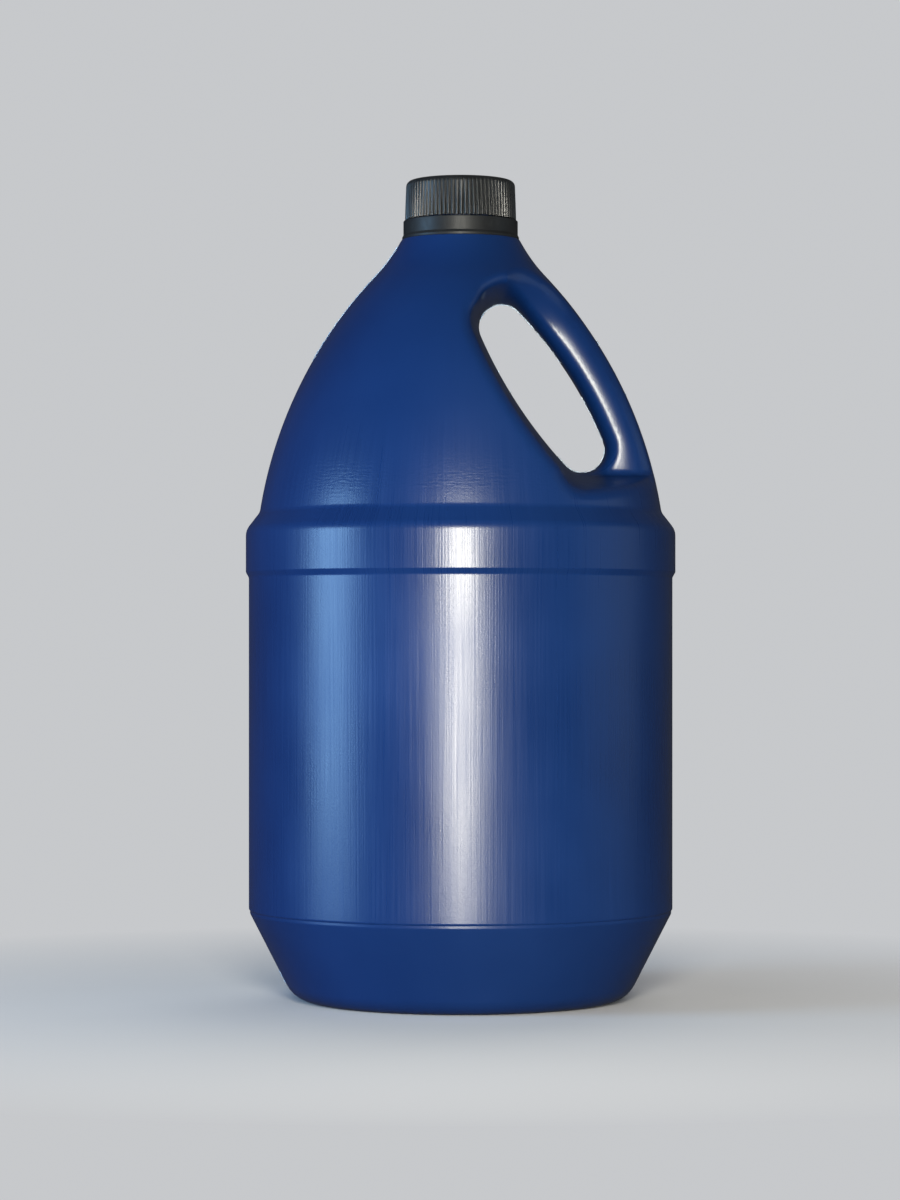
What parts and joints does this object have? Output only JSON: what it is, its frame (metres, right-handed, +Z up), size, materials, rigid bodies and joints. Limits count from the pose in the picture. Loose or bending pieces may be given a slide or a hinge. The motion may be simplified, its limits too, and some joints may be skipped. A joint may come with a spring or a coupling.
{
  "type": "plastic gallon jug",
  "caption": "Round blow-moulded plastic jug with a hollow through handle in its sloping shoulder, closed by a ribbed screw cap over a tamper band.",
  "frame": {"origin": "on the jug's axis, at the plane it stands on", "axes": "+Z up along the jug's axis, +X towards the handle, XZ the mould's parting plane"},
  "size_m": [0.1578, 0.1578, 0.3009],
  "materials": {
    "jug": "satin blown polyethylene with fine upright die lines",
    "closure": "satin moulded polypropylene",
    "foam": "matt closed-cell foam"
  },
  "bodies": {
    "jug": {"jug_body": "jug", "tamper_band": "closure"},
    "liner": {"cap_liner": "foam"},
    "cap": {"cap": "closure"}
  },
  "joints": [
    {"name": "cap_lift", "type": "slide", "parent": "jug", "child": "liner", "axis": [0, 0, 1], "range_m": [0, 0.00635]},
    {"name": "cap_turn", "type": "hinge", "parent": "liner", "child": "cap", "pos_m": [0, 0, 0.2985], "axis": [0, 0, 1], "range_deg": [0, 540]}
  ],
  "couplings": [
    {"joint": "cap_lift", "follows": "cap_turn", "m_per_rad": 0.000673}
  ]
}
